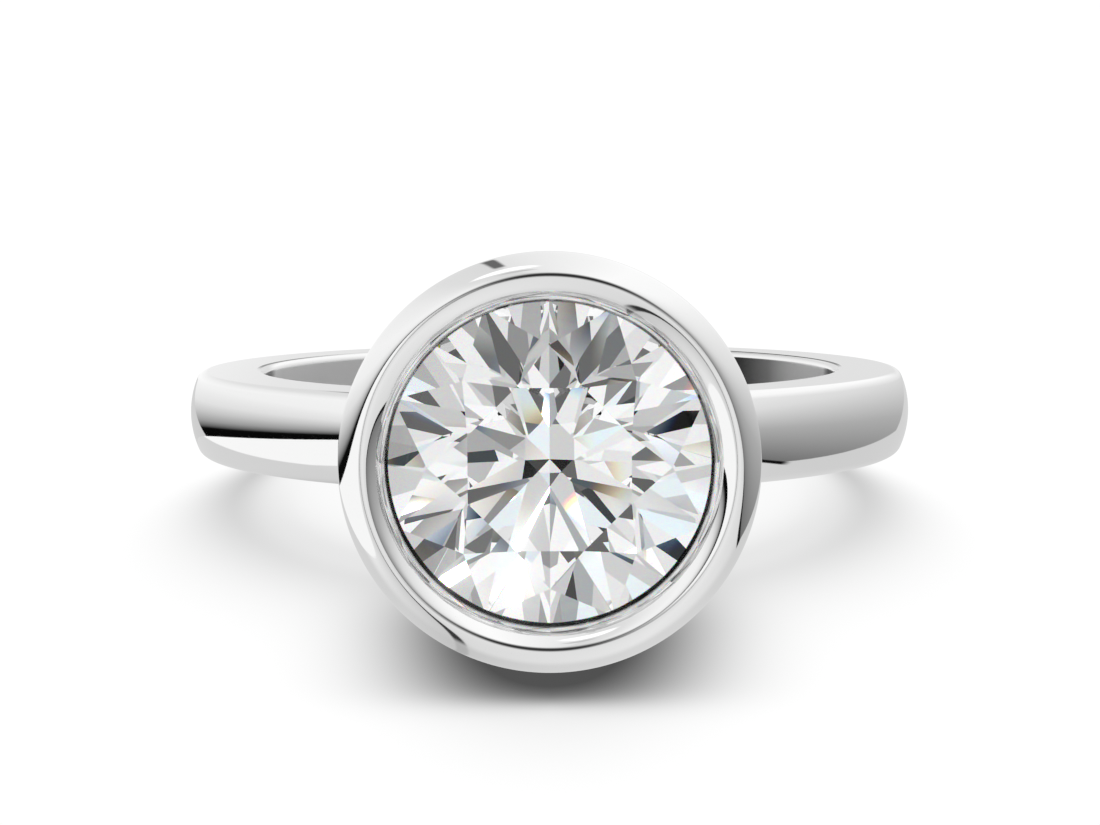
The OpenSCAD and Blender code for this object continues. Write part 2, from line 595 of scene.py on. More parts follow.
@dataclass(frozen=True)
class MirrorPolish:
    """Mirror polished white gold with the faint marks of the polishing wheel.

    The finger hole's wall is satin, with painted light and shade along it from side to side. A thin
    dark line is painted round the hole's far edge, a painted dark reflection, and another along the
    lip's edge, painted shade where it closes on the stone.
    """

    name: str = "white_gold_mirror_polish"
    deep: Colour = (0.872, 0.873, 0.873, 1.0)
    pale: Colour = (0.885, 0.885, 0.883, 1.0)
    tone_scale: float = 260.0
    tone_detail: float = 3.0
    mark_scale: float = 2600.0
    mark_detail: float = 4.0
    mark_break_up: float = 0.6
    mark_stretch: tuple[float, float, float] = (1.0, 1.0, 9.0)
    mark_turn_deg: float = -8.6
    mark_depth: float = 0.0012 * MM
    mark_strength: float = 0.06
    worn_range: tuple[float, float] = (0.35, 0.8)
    roughness: float = 0.028
    haze: float = 0.02
    satin_edge: tuple[float, float] = (8.254 * MM, 8.26 * MM)
    satin_roughness: float = 0.4
    # painted light and shade: colour levels of the satin wall across the ring, by millimetres to the side
    satin_painted_light_and_shade: Stops = (
        (-8.3, 0.25), (-8.23, 0.25), (-8.21, 0.95), (4.5, 0.3), (6.0, 0.03), (6.4, 0.09), (6.9, 0.2),
        (7.4, 0.48), (8.19, 0.85), (8.21, 0.14), (8.3, 0.14),
    )
    # painted shade and painted dark reflection: the near-black tone of the thin painted lines
    painted_dark_tone: Colour = (0.01, 0.01, 0.01, 1.0)
    lip_shade_ahead: tuple[float, float] = (13.2 * MM, 13.3 * MM)
    lip_shade_reach: tuple[float, float] = (3.715 * MM, 3.665 * MM)
    # painted dark reflection round the hole's far edge: where the line runs and how strong it is
    brink_start: tuple[float, float] = (8.375 * MM, 8.405 * MM)
    brink_end: tuple[float, float] = (8.47 * MM, 8.5 * MM)
    brink_behind: tuple[float, float] = (1.5 * MM, 3.0 * MM)
    brink_over: tuple[float, float] = (2.2 * MM, 2.4 * MM)
    brink_level: Stops = (
        (-8.6, 0.6), (-7.8, 0.6), (-6.3, 0.15), (-5.0, 0.0), (4.0, 0.5), (5.5, 0.95), (7.6, 0.9), (8.6, 0.6),
    )

    def material(self) -> bpy.types.Material:
        """Builds the finish.

        Returns:
            The material.
        """
        finish = bpy.data.materials.new(self.name)
        finish.use_nodes = True
        nodes = finish.node_tree.nodes
        sheet = NodeSheet(finish.node_tree)
        own = RingPlace(sheet)
        reach, side = own.from_finger_axis(), sheet.times(own.along(Axis.SIDE), 1.0 / MM)
        satin = sheet.rise(reach, *self.satin_edge, 1.0, 0.0)
        cloud = sheet.noise(sheet.place(), self.tone_scale, Detail=self.tone_detail)
        tone = sheet.tinted(cloud, self.deep, self.pale)
        # painted light and shade: on the satin wall the colour follows the ramp across the ring
        tone = sheet.tinted(satin, tone, sheet.ramp(side, self.satin_painted_light_and_shade))
        marks = self.marks(sheet)
        worn = sheet.rise(marks, *self.worn_range, self.roughness, self.roughness + self.haze)
        relief = {"Strength": self.mark_strength, "Distance": self.mark_depth, "Height": marks}
        shader = nodes["Principled BSDF"]
        sheet.fill(shader, {
            "Metallic": 1.0, "Base Color": tone, "Roughness": sheet.blend(satin, worn, self.satin_roughness),
            "Normal": sheet.add("ShaderNodeBump", relief).outputs[0],
        })
        # painted shade along the lip's edge and a painted dark reflection round the hole's far edge, mixed
        # in as a near-black diffuse
        lip_shade_at_rim = sheet.rise(own.along(Axis.STONE), *self.lip_shade_ahead)
        lip = sheet.times(lip_shade_at_rim, own.lip_shade_line(*self.lip_shade_reach))
        painted_lines = sheet.maths("MAXIMUM", lip, self.brink(sheet, reach, side))
        dim = sheet.add("ShaderNodeBsdfDiffuse", {"Color": self.painted_dark_tone})
        with_painted_lines = sheet.either(painted_lines, shader.outputs[0], dim.outputs[0])
        sheet.fill(nodes["Material Output"], {"Surface": with_painted_lines})
        return finish

    def marks(self, sheet: NodeSheet) -> Socket:
        """Lays fine marks along the way that the polishing wheel turned.

        Args:
            sheet: The metal's nodes.

        Returns:
            The marks' height, from 0 to 1.
        """
        turn = (math.radians(self.mark_turn_deg), 0.0, 0.0)
        inputs = {"Vector": sheet.place(), "Rotation": turn, "Scale": self.mark_stretch}
        wheel = sheet.add("ShaderNodeMapping", inputs, vector_type="POINT").outputs[0]
        return sheet.noise(wheel, self.mark_scale, Detail=self.mark_detail, Roughness=self.mark_break_up)

    def brink(self, sheet: NodeSheet, reach: Socket, side: Socket) -> Socket:
        """Finds the thin painted dark reflection round the far edge of the finger hole.

        Args:
            sheet: The metal's nodes.
            reach: Distance from the hole's axis, in metres.
            side: How far a place is to the side, in millimetres.

        Returns:
            How dark the painted line makes the place, from 0 to 1.
        """
        place = sheet.add("ShaderNodeSeparateXYZ", {0: sheet.place()}).outputs
        return sheet.times(
            sheet.rise(reach, *self.brink_start), sheet.rise(reach, *self.brink_end, 1.0, 0.0),
            sheet.ramp(side, self.brink_level),
            sheet.rise(place["Y"], *self.brink_behind), sheet.rise(place["Z"], *self.brink_over),
        )


@dataclass(frozen=True)
class CutCrystal:
    """Clear stone of high refraction that splits white light where it leaves, with a ground girdle.

    Light that comes in is bent, or mirrored on a few ways. Light inside is mirrored whole or leaves
    whole, and light that has been mirrored many times ends in a painted glow, brighter on facets that
    face lit_from. A thin painted shade line darkens the stone's edge under the lip.
    """

    name: str = "clear_stone_polished_facets"
    index: float = 2.42
    split_indices: tuple[float, float, float] = (2.414, 2.42, 2.429)
    cool: Colour = (0.8865, 0.891, 0.8955, 1.0)
    clear: Colour = (0.9, 0.9, 0.9, 1.0)
    tone_scale: float = 420.0
    shine: float = 0.12
    sheen: float = 0.5
    kept: float = 0.65
    split_until: float = 2.5
    held_until: float = 6.5
    # painted light: levels of the glow that ends light mirrored many times inside, dull to bright by facing
    painted_glow: tuple[float, float] = (0.1, 1.1)
    lit_from: tuple[float, float, float] = (0.4, -0.5, 0.77)
    tucked: tuple[float, float] = (3.61 * MM, 3.62 * MM)
    # painted shade on the stone's edge: where it starts, and its near-black tone below
    edge_shade_reach: tuple[float, float] = (3.61 * MM, 3.64 * MM)
    painted_dark_tone: Colour = (0.004, 0.004, 0.004, 1.0)
    girdle_edge: tuple[float, float] = (0.4, 0.6)
    girdle_roughness: float = 0.04

    def material(self) -> bpy.types.Material:
        """Builds the finish: one shader for light that comes in, and one for light that is inside.

        Returns:
            The material.
        """
        finish = bpy.data.materials.new(self.name)
        finish.use_nodes = True
        finish.cycles.emission_sampling = "NONE"
        nodes = finish.node_tree.nodes
        nodes.remove(nodes["Principled BSDF"])
        sheet = NodeSheet(finish.node_tree)
        rough = sheet.rise(sheet.mark(Zone.GIRDLE), *self.girdle_edge, 0.0, self.girdle_roughness)
        fresnel = sheet.add("ShaderNodeFresnel", {"IOR": self.index}).outputs[0]
        gloss = {"Color": WHITE, "Roughness": rough}
        mirror = sheet.add("ShaderNodeBsdfAnisotropic", gloss, distribution="GGX").outputs[0]
        outside = self.outside(sheet, rough, fresnel, mirror)
        inside = self.inside(sheet, rough, fresnel, mirror)
        behind = sheet.add("ShaderNodeNewGeometry").outputs["Backfacing"]
        sheet.fill(nodes["Material Output"], {"Surface": sheet.either(behind, outside, inside)})
        return finish

    def bent(self, sheet: NodeSheet, index: float, tint: Any, rough: Level = 0.0) -> Socket:
        """Adds a shader that bends light at the surface."""
        inputs = {"IOR": index, "Color": tint, "Roughness": rough}
        return sheet.add("ShaderNodeBsdfRefraction", inputs, distribution="GGX").outputs[0]

    def outside(self, sheet: NodeSheet, rough: Socket, fresnel: Socket, mirror: Socket) -> Socket:
        """Builds what the stone does with light that meets it from outside.

        Args:
            sheet: The stone's nodes.
            rough: The surface's roughness.
            fresnel: The share that a real surface mirrors.
            mirror: The shader that mirrors all light.

        Returns:
            The shader.
        """
        path = sheet.add("ShaderNodeLightPath").outputs
        cloud = sheet.noise(sheet.place(), self.tone_scale)
        entering = self.bent(sheet, self.index, sheet.tinted(cloud, self.cool, self.clear), rough)
        glint = sheet.maths("MAXIMUM", sheet.times(fresnel, self.shine),
                            sheet.times(path["Is Glossy Ray"], self.sheen))
        # painted shade: a near-black line on the stone's edge where it tucks under the lip
        dim = sheet.add("ShaderNodeBsdfDiffuse", {"Color": self.painted_dark_tone}).outputs[0]
        line = RingPlace(sheet).lip_shade_line(*self.edge_shade_reach)
        return sheet.either(line, sheet.either(glint, entering, mirror), dim)

    def inside(self, sheet: NodeSheet, rough: Socket, fresnel: Socket, mirror: Socket) -> Socket:
        """Builds what the stone does with light that meets its surface from inside.

        Args:
            sheet: The stone's nodes.
            rough: The surface's roughness.
            fresnel: The share that a real surface mirrors.
            mirror: The shader that mirrors all light.

        Returns:
            The shader.
        """
        mirrorings = sheet.add("ShaderNodeLightPath").outputs["Glossy Depth"]
        split: Optional[Socket] = None
        for k, index in enumerate(self.split_indices):
            tint = tuple(float(k == channel) for channel in range(3)) + (1.0,)
            ray = self.bent(sheet, index, sheet.tinted(fresnel, tint, BLACK), rough)
            split = ray if split is None else sheet.add("ShaderNodeAddShader", {0: split, 1: ray}).outputs[0]
        plain = self.bent(sheet, self.index, sheet.tinted(fresnel, WHITE, BLACK))
        leaving = sheet.either(sheet.maths("GREATER_THAN", mirrorings, self.split_until), split, plain)
        tucked = sheet.rise(RingPlace(sheet).from_stone_axis(), *self.tucked)
        closed = sheet.maths("MAXIMUM", sheet.mark(Zone.PAVILION), tucked)
        kept = sheet.times(sheet.maths("SUBTRACT", 1.0, closed), self.kept)
        held = sheet.either(sheet.maths("GREATER_THAN", fresnel, kept), leaving, mirror)
        # painted light: light still inside after held_until mirrorings ends in a glow, brighter on facets
        # that face lit_from
        facing = sheet.dot(sheet.add("ShaderNodeNewGeometry").outputs["True Normal"], self.lit_from)
        level = {"Strength": sheet.rise(facing, -1.0, 1.0, *self.painted_glow)}
        painted_glow = sheet.add("ShaderNodeEmission", level).outputs[0]
        return sheet.either(sheet.maths("GREATER_THAN", mirrorings, self.held_until), held, painted_glow)


@dataclass(frozen=True)
class PaleFloor:
    """Plain white glowing studio floor with the ring's soft shadow painted on it. Its painted shadow is laid
    out in millimetres.
    """

    half_size: float = 0.6
    glow: float = 1.03
    screen_power: float = 2.2
    deepest: float = 0.68
    cup_middle: float = -9.4
    cup_before: float = 5.6
    cup_behind: float = 3.45
    cup_aside: float = 2.98
    front: float = -13.75
    front_softness: float = 0.22
    front_spread: float = 0.06
    front_spill: float = 0.16
    shank_middle: float = 2.334
    shank_reach: float = 9.27
    shank_stretch: tuple[float, float] = (-9.0, 6.0)
    shank_depth: tuple[float, float] = (0.077, 0.231)
    shank_width: tuple[float, float] = (2.97, 0.5)
    shank_power: float = 1.6
    hole_shade: float = 0.03
    hole_reach: tuple[float, float] = (8.67, 7.57)

    def build(self) -> bpy.types.Object:
        """Builds the floor and hides it from mirror, glass, diffuse and shadow rays.

        Returns:
            The floor.
        """
        s = self.half_size
        mesh = bpy.data.meshes.new("floor")
        mesh.from_pydata([(-s, -s, 0.0), (s, -s, 0.0), (s, s, 0.0), (-s, s, 0.0)], [], [(0, 1, 2, 3)])
        floor = placed("floor", mesh)
        paper = bpy.data.materials.new("pale_floor")
        paper.use_nodes = True
        nodes = paper.node_tree.nodes
        nodes.remove(nodes["Principled BSDF"])
        sheet = NodeSheet(paper.node_tree)
        # painted shadow: the floor glows white, darker where shade() lays out the ring's shadow
        shown = sheet.maths("POWER", sheet.maths("SUBTRACT", 1.0, self.shade(sheet)), self.screen_power)
        light = {"Color": WHITE, "Strength": sheet.times(shown, self.glow)}
        glowing = sheet.add("ShaderNodeEmission", light).outputs[0]
        sheet.fill(nodes["Material Output"], {"Surface": glowing})
        mesh.materials.append(paper)
        for kind in ("glossy", "transmission", "diffuse", "shadow"):
            setattr(floor, f"visible_{kind}", False)
        return floor

    def shade(self, sheet: NodeSheet) -> Socket:
        """Lays out the painted shadow under the cup and under the shank.

        Args:
            sheet: The floor's nodes.

        Returns:
            How much darker the floor shows, from 0 to 1.
        """
        place = sheet.add("ShaderNodeSeparateXYZ", {0: sheet.place()}).outputs
        x, y = (sheet.times(place[name], 1.0 / MM) for name in ("X", "Y"))
        before = sheet.maths("GREATER_THAN", y, self.cup_middle)
        along = sheet.bell(sheet.maths("SUBTRACT", y, self.cup_middle),
                           sheet.blend(before, self.cup_before, self.cup_behind))
        softness = sheet.maths("MULTIPLY_ADD", sheet.maths("ABSOLUTE", x), self.front_spread,
                               self.front_softness)
        past = sheet.maths("DIVIDE", sheet.maths("SUBTRACT", self.front, y), softness)
        edge = sheet.maths("DIVIDE", 1.0, sheet.maths("ADD", sheet.maths("EXPONENT", past), 1.0))
        cup = sheet.times(sheet.bell(x, self.cup_aside), along, sheet.blend(edge, self.front_spill, 1.0))
        cup = sheet.maths("MINIMUM", cup, self.deepest)
        reach = sheet.long_side(x, sheet.maths("SUBTRACT", y, self.shank_middle))
        far = sheet.rise(y, *self.shank_stretch, ease=Ease.STRAIGHT)
        off = sheet.maths("SUBTRACT", reach, self.shank_reach)
        ring = sheet.bell(off, sheet.blend(far, *self.shank_width), self.shank_power)
        shank = sheet.times(sheet.blend(far, *self.shank_depth), ring)
        hole = sheet.rise(reach, *self.hole_reach, 0.0, self.hole_shade)
        return sheet.maths("ADD", sheet.maths("ADD", cup, shank), hole, clamp=True)


@dataclass(frozen=True)
class Card:
    """One card, lamp or gap in the stone's light, placed by angles from the lens, in degrees."""

    right: float
    up: float
    half_width: float
    half_height: float
    turn: float
    level: float
    blue: float = 0.0
    edge: float = 1.2
    green_loss: float = 0.3

    def over(self, sheet: NodeSheet, colour: Socket, place: Socket) -> Socket:
        """Lays the card over what is there already.

        Args:
            sheet: The nodes of the light.
            colour: The colour so far.
            place: The direction as degrees right, degrees up and 1.

        Returns:
            The new colour.
        """
        cos, sin = math.cos(math.radians(self.turn)), math.sin(math.radians(self.turn))
        masks = []
        for along, half in (((cos, sin), self.half_width), ((-sin, cos), self.half_height)):
            middle = self.right * along[0] + self.up * along[1]
            off = sheet.maths("ABSOLUTE", sheet.dot(place, (*along, -middle)))
            inner, outer = half - self.edge / 2, half + self.edge / 2
            masks.append(sheet.rise(off, inner, outer, 1.0, 0.0, Ease.STRAIGHT))
        red, green = 1.0 - self.blue, 1.0 - self.green_loss * self.blue
        tint = (self.level * red, self.level * green, self.level, 1.0)
        return sheet.tinted(sheet.times(*masks), colour, tint)


@dataclass(frozen=True)
class StoneLight:
    """The light that shows in the stone: a white surround with dark, grey, white and pale blue cards."""

    lens_side_deg: float = -1.0
    lens_rise_deg: float = 14.0
    surround: Bend = (-12.0, 12.0, 0.85, 0.6)
    contrast: float = 1.13
    cards: tuple[Card, ...] = (
        Card(10.8, 6.5, 2.1, 4.6, -32.0, 0.0),
        Card(-9.1, 8.1, 19.8, 6.1, 10.0, 0.2),
        Card(4.5, 36.7, 25.6, 16.3, -13.0, 1.01),
        Card(28.3, 4.1, 2.3, 4.1, 0.0, 0.08, 0.16),
        Card(-42.1, 5.2, 1.3, 3.0, -28.0, 0.0, 0.68),
        Card(11.8, -9.9, 4.9, 7.4, 42.0, 0.24),
        Card(-26.4, 30.2, 8.8, 6.9, -1.0, 0.12, 0.22),
        Card(12.0, -20.6, 13.5, 6.4, 7.0, 1.07),
        Card(13.0, -25.7, 19.5, 8.1, 1.0, 1.24),
        Card(-21.5, -2.8, 11.1, 2.1, -45.0, 0.16, 0.11),
        Card(67.6, -9.9, 10.4, 1.3, 9.0, 0.12, -0.1),
        Card(-21.1, -10.8, 16.1, 3.3, -8.0, 1.18),
        Card(34.4, 40.6, 29.3, 21.3, 16.0, 1.15),
        Card(18.7, 64.0, 9.0, 15.4, 70.0, 1.45, 0.1),
        Card(43.2, 6.7, 7.2, 5.5, -37.0, 0.09),
        Card(-0.7, -11.2, 3.8, 1.7, 3.0, 1.33, 0.08),
        Card(35.5, 4.5, 3.1, 6.1, 9.0, 1.37),
        Card(-2.2, -5.1, 9.7, 7.2, 24.0, 1.2),
        Card(-22.2, 53.4, 15.2, 10.4, 23.0, 1.33),
        Card(20.5, -2.6, 2.0, 15.3, 49.0, 1.28, 0.15),
        Card(14.0, -33.2, 13.1, 8.0, -23.0, 1.22, 0.1),
        Card(-23.6, 5.9, 4.0, 10.1, 1.0, 0.42),
        Card(-6.2, 14.7, 6.8, 4.3, -10.0, 1.07, 0.13),
        Card(2.6, 17.9, 15.7, 2.3, -15.0, 0.27, 0.06),
        Card(31.6, -12.5, 15.9, 2.7, -15.0, 0.61, 0.06),
        Card(42.5, -25.2, 3.7, 7.5, 32.0, 1.21),
        Card(-50.5, 2.0, 6.0, 5.5, -2.0, 1.7, -0.1),
        Card(21.4, 8.6, 1.3, 10.0, 2.0, 0.18, 0.33),
        Card(13.7, 13.9, 9.2, 1.9, -27.0, 0.84, 0.06),
        Card(-10.6, 30.0, 16.0, 1.4, -10.0, 0.94),
        Card(1.9, -12.2, 0.6, 1.2, 0.0, 2.6, edge=0.3),
        Card(-17.2, -8.2, 1.8, 1.8, 0.0, 4.0, edge=0.8),
        Card(22.3, -37.6, 2.2, 2.2, 0.0, 3.5),
    )

    def colour(self, sheet: NodeSheet, toward: Socket) -> Socket:
        """Lays out the light.

        Args:
            sheet: The world's nodes.
            toward: The direction that is looked at.

        Returns:
            The light's colour.
        """
        axis, right, up = lens_frame(self.lens_side_deg, self.lens_rise_deg)
        x, y = sheet.dot(toward, right), sheet.dot(toward, up)
        away = sheet.times(sheet.maths("ARCCOSINE", sheet.dot(toward, axis)), DEGREES)
        scale = sheet.maths("DIVIDE", away, sheet.maths("MAXIMUM", sheet.long_side(x, y), 1e-5))
        x, y = sheet.times(x, scale), sheet.times(y, scale)
        place = sheet.add("ShaderNodeCombineXYZ", {"X": x, "Y": y, "Z": 1.0}).outputs[0]
        colour = sheet.rise(y, *self.surround, Ease.STRAIGHT)
        for card in self.cards:
            colour = card.over(sheet, colour, place)
        return sheet.add("ShaderNodeGamma", {"Color": colour, "Gamma": self.contrast}).outputs[0]


@dataclass(frozen=True)
class TentView:
    """The direction that is looked at, as angles round the tent's axis and away from the camera."""

    sheet: NodeSheet
    turn: Socket
    away: Socket

    def rise_away(self, bend: Sequence[Level], ease: Ease = Ease.SOFT) -> Socket:
        """Goes from level to level with the angle away from the camera."""
        return self.sheet.rise(self.away, *bend, ease=ease)

    def rise_round(self, bend: Sequence[Level]) -> Socket:
        """Goes from level to level with the angle round the axis."""
        return self.sheet.rise(self.turn, *bend)

    def wall(self, stops: Stops) -> Socket:
        """Reads the light level of a wall whose stops are given as they show."""
        return self.sheet.ramp(self.turn, [(place, linear(shown)) for place, shown in stops])

    def past(self, bends: Sequence[Bend], softness: float = 0.8) -> Socket:
        """Finds whether a place is past a border between two walls.

        Args:
            bends: Where the border runs. The later bends are added to the first.
            softness: The border's width, in degrees.

        Returns:
            A share from 0 before the border to 1 past it.
        """
        border = self.rise_away(bends[0], Ease.STRAIGHT)
        for bend in bends[1:]:
            border = self.sheet.maths("ADD", border, self.rise_away(bend, Ease.STRAIGHT))
        return self.rise_round((border, self.sheet.maths("ADD", border, softness)))


@dataclass(frozen=True)
class Seam:
    """A dark seam between two walls of the tent, which comes and goes with the distance."""

    place: float
    half: float
    shown: float
    bends: tuple[Bend, ...]
    core: float = 0.45

    def over(self, view: TentView, level: Level) -> Socket:
        """Darkens the seam.

        Args:
            view: The direction that is looked at.
            level: The level so far.

        Returns:
            The new level.
        """
        sheet = view.sheet
        off = sheet.maths("ABSOLUTE", sheet.maths("SUBTRACT", view.turn, self.place))
        line = sheet.rise(off, self.half * self.core, self.half, 1.0, 0.0)
        share = sheet.times(line, *(view.rise_away(bend) for bend in self.bends))
        return sheet.blend(share, level, linear(self.shown))


@dataclass(frozen=True)
class Spot:
    """A round light or patch on a wall of the tent."""

    place: float
    distance: float
    outer: float
    inner: float
    shown: float

    def over(self, view: TentView, level: Level) -> Socket:
        """Puts the spot on its wall.

        Args:
            view: The direction that is looked at.
            level: The level so far.

        Returns:
            The new level.
        """
        sheet = view.sheet
        across = sheet.maths("SUBTRACT", view.turn, self.place)
        across = sheet.times(across, math.sin(math.radians(self.distance)))
        off = sheet.long_side(across, sheet.maths("SUBTRACT", view.away, self.distance))
        return sheet.blend(sheet.rise(off, self.inner, self.outer, 1.0, 0.0), level, linear(self.shown))


@dataclass(frozen=True)
class LightTent:
    """A light tent round the ring, seen end-on from the camera.

    Its walls run away from the camera, so a place on them is an angle round the tent's axis
    (0 right, 90 up, 180 left) and an angle away from the camera (0 at the camera, 180 behind the ring).
    """

    axis_side_deg: float = 1.0
    axis_rise_deg: float = 15.0
    strength: float = 1.136
    first_turn: float = -171.3
    right_wall: Stops = (
        (-30.0, 0.43), (0.0, 0.67), (20.0, 0.86), (50.0, 0.975), (65.0, 0.985), (106.0, 0.89),
    )
    right_border: tuple[Bend, ...] = ((84.8, 150.0, -30.0, -4.9), (143.0, 165.0, 0.0, 26.0))
    roof_wall: Stops = (
        (106.0, 0.85), (122.0, 0.87), (135.0, 0.925), (150.0, 0.953), (161.0, 0.94),
        (170.0, 0.875), (175.0, 0.77), (180.0, 0.6), (182.5, 0.4), (184.0, 0.03), (188.7, 0.02),
    )
    roof_border: tuple[float, float] = (105.5, 106.5)
    near_floor_wall: Stops = (
        (-150.0, 0.94), (-130.0, 0.85), (-116.0, 0.78), (-109.0, 0.85), (-90.0, 0.875),
        (-68.0, 0.905), (-45.0, 0.875), (-30.0, 0.85),
    )
    far_floor_wall: Stops = (
        (-150.0, 0.82), (-130.0, 0.81), (-116.0, 0.76), (-109.0, 0.78), (-90.0, 0.82),
        (-68.0, 0.835), (-45.0, 0.82), (-30.0, 0.805),
    )
    far_floor: tuple[float, float] = (55.0, 92.0)
    window_level: float = 0.965
    window_border: tuple[Bend, ...] = ((30.0, 90.0, -135.0, -151.0), (90.0, 150.0, 0.0, -22.5))
    end_level: float = 0.85
    end_away: tuple[float, float] = (150.0, 162.0)
    end_turn: tuple[float, float] = (24.0, 42.0)
    left_floor_level: float = 0.79
    left_border: tuple[Bend, ...] = ((141.0, 163.0, 190.0, 162.0),)
    lens_level: float = 0.05
    lens: Bend = (3.0, 13.0, 0.97, 0.0)
    marks: tuple[Union[Seam, Spot], ...] = (
        Seam(-113.0, 2.4, 0.1, ((55.0, 80.0, 0.97, 0.22),)),
        Seam(-29.9, 1.7, 0.05, ((24.0, 30.0, 0.0, 1.0), (86.0, 91.0, 1.0, 0.0))),
        Seam(106.5, 2.6, 0.4, ((58.0, 72.0, 0.0, 1.0), (130.0, 155.0, 1.0, 0.0))),
        Spot(107.0, 43.0, 10.0, 7.0, 1.04),
        Spot(105.5, 27.0, 5.0, 2.0, 0.76),
    )
    stone_light: StoneLight = StoneLight()

    def view(self, sheet: NodeSheet, toward: Socket) -> TentView:
        """Finds the angles of a direction.

        Args:
            sheet: The world's nodes.
            toward: The direction that is looked at.

        Returns:
            The view.
        """
        axis, right, up = lens_frame(self.axis_side_deg, self.axis_rise_deg)
        turn = sheet.maths("ARCTAN2", sheet.dot(toward, up), sheet.dot(toward, right))
        turn = sheet.times(turn, DEGREES)
        turn = sheet.maths("MULTIPLY_ADD", sheet.maths("LESS_THAN", turn, self.first_turn), 360.0, turn)
        away = sheet.times(sheet.maths("ARCCOSINE", sheet.dot(toward, axis)), DEGREES)
        return TentView(sheet, turn, away)

    def level(self, view: TentView) -> Socket:
        """Lays out the walls, the seams and the dark camera.

        Args:
            view: The direction that is looked at.

        Returns:
            The light level.
        """
        blend = view.sheet.blend
        level = blend(view.rise_away(self.far_floor), view.wall(self.near_floor_wall),
                      view.wall(self.far_floor_wall))
        level = blend(view.past(self.window_border, 1.0), linear(self.window_level), level)
        end = view.sheet.times(view.rise_away(self.end_away), view.rise_round(self.end_turn))
        side = blend(end, view.wall(self.right_wall), linear(self.end_level))
        level = blend(view.past(self.right_border), level, side)
        level = blend(view.rise_round(self.roof_border), level, view.wall(self.roof_wall))
        level = blend(view.past(self.left_border), level, linear(self.left_floor_level))
        for mark in self.marks:
            level = mark.over(view, level)
        return blend(view.rise_away(self.lens), level, linear(self.lens_level))

    def build(self) -> bpy.types.World:
        """Builds the world: the tent for the metal, the cards for the stone, plain white for the camera.

        Returns:
            The world.
        """
        world = bpy.data.worlds.new("light_tent")
        bpy.context.scene.world = world
        world.use_nodes = True
        world.node_tree.nodes.clear()
        sheet = NodeSheet(world.node_tree)
        toward = sheet.add("ShaderNodeTexCoord").outputs["Generated"]
        path = sheet.add("ShaderNodeLightPath").outputs
        level = self.level(self.view(sheet, toward))
        shown = sheet.blend(path["Is Camera Ray"], level, 1.0)
        tent = sheet.add("ShaderNodeBackground", {"Color": shown, "Strength": self.strength})
        cards = sheet.add("ShaderNodeBackground", {"Color": self.stone_light.colour(sheet, toward)})
        both = sheet.either(path["Is Transmission Ray"], tent.outputs[0], cards.outputs[0])
        sheet.add("ShaderNodeOutputWorld", {"Surface": both})
        return world


@dataclass(frozen=True)
class LampGlow:
    """The soft glow round the lamps that flash in the stone."""

    threshold: float = 1.4
    strength: float = 0.6
    size: float = 0.35

    def build(self) -> None:
        """Adds the glow to the finished picture."""
        scene = bpy.context.scene
        scene.use_nodes = True
        scene.node_tree.nodes.clear()
        sheet = NodeSheet(scene.node_tree)
        glow = sheet.add("CompositorNodeGlare", {
            "Image": sheet.add("CompositorNodeRLayers").outputs["Image"],
            "Threshold": self.threshold, "Strength": self.strength, "Size": self.size,
        }, glare_type="BLOOM", quality="HIGH")
        sheet.add("CompositorNodeComposite", {"Image": glow.outputs["Image"]})


@dataclass(frozen=True)
class StudioCamera:
    """The camera in front of the ring, close by and a little above it."""

    place: tuple[float, float, float] = (0.0103743 * MM, -53.888458 * MM, 16.6802 * MM)
    turn_deg: tuple[float, float, float] = (75.786149, 0.202681, -0.052376)
    focal_px: float = 1976.834
    image_width: float = 1100.0
    sensor: float = 36.0
    clip: tuple[float, float] = (0.001, 5.0)

    def build(self) -> bpy.types.Object:
        """Builds the camera and makes it the scene's.

        Returns:
            The camera.
        """
        lens = bpy.data.cameras.new("studio_camera")
        lens.sensor_fit = "HORIZONTAL"
        lens.sensor_width = self.sensor
        lens.lens = self.focal_px / self.image_width * self.sensor
        lens.clip_start, lens.clip_end = self.clip
        lens.dof.use_dof = False
        camera = placed("studio_camera", lens)
        camera.location = self.place
        camera.rotation_euler = Euler([math.radians(a) for a in self.turn_deg], "XYZ")
        bpy.context.scene.camera = camera
        return camera


